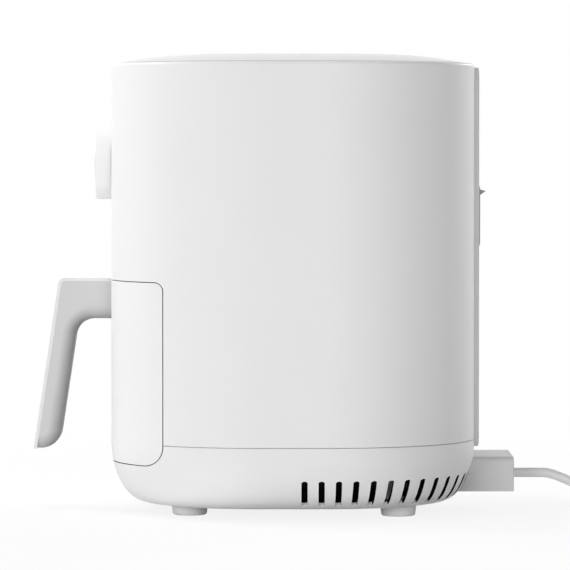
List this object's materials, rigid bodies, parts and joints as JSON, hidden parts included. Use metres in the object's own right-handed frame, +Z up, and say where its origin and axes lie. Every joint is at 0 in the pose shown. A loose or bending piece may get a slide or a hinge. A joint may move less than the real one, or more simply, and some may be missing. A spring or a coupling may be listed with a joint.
{
  "type": "air fryer",
  "caption": "Free-standing countertop air fryer: rounded white body, pull-out pan drawer with a drop handle, round front knob, base intake slots, rear exhaust and mains cord.",
  "frame": {"origin": "middle of the footprint without the mains cord, on the plane the feet stand on", "axes": "+Z up, front with the drawer and knob at -Y, back with the cord at +Y, width along X"},
  "size_m": [0.2512, 0.473, 0.304],
  "materials": {
    "shell_white": "satin",
    "dark_plastic": "matt",
    "pale_rubber": "matt",
    "nonstick_coat": "satin",
    "sheet_steel": "brushed",
    "screw_steel": "satin",
    "runner_plastic": "matt",
    "heater_tube": "matt",
    "motor_steel": "satin",
    "board_green": "satin",
    "lens_black": "gloss",
    "display_panel": "gloss",
    "cord_white": "satin",
    "tie_white": "satin",
    "pin_nickel": "polished"
  },
  "bodies": {
    "casing": {"base_screws": "screw_steel", "base_shell": "shell_white", "bay_surround": "dark_plastic", "control_board": "board_green", "cord_coil": "cord_white", "cord_grommet": "pale_rubber", "cord_tie": "tie_white", "exhaust_duct": "sheet_steel", "exhaust_grille": "shell_white", "fan_motor": "motor_steel", "foot_front_left": "pale_rubber", "foot_front_right": "pale_rubber", "foot_rear_left": "pale_rubber", "foot_rear_right": "pale_rubber", "heat_shield": "sheet_steel", "heater_guard": "sheet_steel", "heating_element": "heater_tube", "inner_chamber": "sheet_steel", "interlock_switch": "dark_plastic", "motor_bracket": "sheet_steel", "motor_screws": "screw_steel", "pan_runner_left": "runner_plastic", "pan_runner_right": "runner_plastic", "plug_body": "cord_white", "plug_pins": "pin_nickel", "power_board": "board_green", "power_board_posts": "runner_plastic", "power_cord": "cord_white", "rear_block": "shell_white", "rear_cover": "shell_white", "rear_screws": "screw_steel", "rotary_encoder": "dark_plastic", "temperature_sensor": "sheet_steel", "thermal_cutout": "runner_plastic", "top_cover": "shell_white", "upper_housing": "shell_white"},
    "drawer": {"drawer_front": "shell_white", "drawer_liner": "dark_plastic", "handle_grip": "shell_white", "handle_strip": "shell_white", "handle_screws": "screw_steel", "pan": "nonstick_coat", "pan_screws": "screw_steel"},
    "crisper": {"crisper_plate": "nonstick_coat", "crisper_bumpers": "pale_rubber"},
    "knob": {"control_knob": "shell_white", "knob_retainer": "dark_plastic"},
    "display": {"display_lens": "lens_black", "display_carrier": "dark_plastic", "display_panel": "display_panel"},
    "rotor": {"motor_shaft": "sheet_steel", "convection_fan": "sheet_steel", "cooling_fan": "runner_plastic"},
    "plunger": {"interlock_plunger": "dark_plastic"}
  },
  "joints": [
    {"name": "drawer_slide", "type": "slide", "parent": "casing", "child": "drawer", "axis": [0, -1, 0], "range_m": [0, 0.215]},
    {"name": "crisper_lift", "type": "slide", "parent": "drawer", "child": "crisper", "axis": [0, 0, 1], "range_m": [0, 0.08]},
    {"name": "knob_turn", "type": "hinge", "parent": "casing", "child": "knob", "pos_m": [0, -0.10755, 0.2313], "axis": [0, -1, 0], "continuous": true},
    {"name": "display_press", "type": "slide", "parent": "casing", "child": "display", "axis": [0, 1, 0], "range_m": [0, 0.0008], "stiffness_N_per_m": 1500},
    {"name": "fan_spin", "type": "hinge", "parent": "casing", "child": "rotor", "pos_m": [0, 0.01645, 0.2], "axis": [0, 0, 1], "continuous": true},
    {"name": "interlock_press", "type": "slide", "parent": "casing", "child": "plunger", "axis": [0, 1, 0], "range_m": [0, 0.0015], "stiffness_N_per_m": 400}
  ]
}
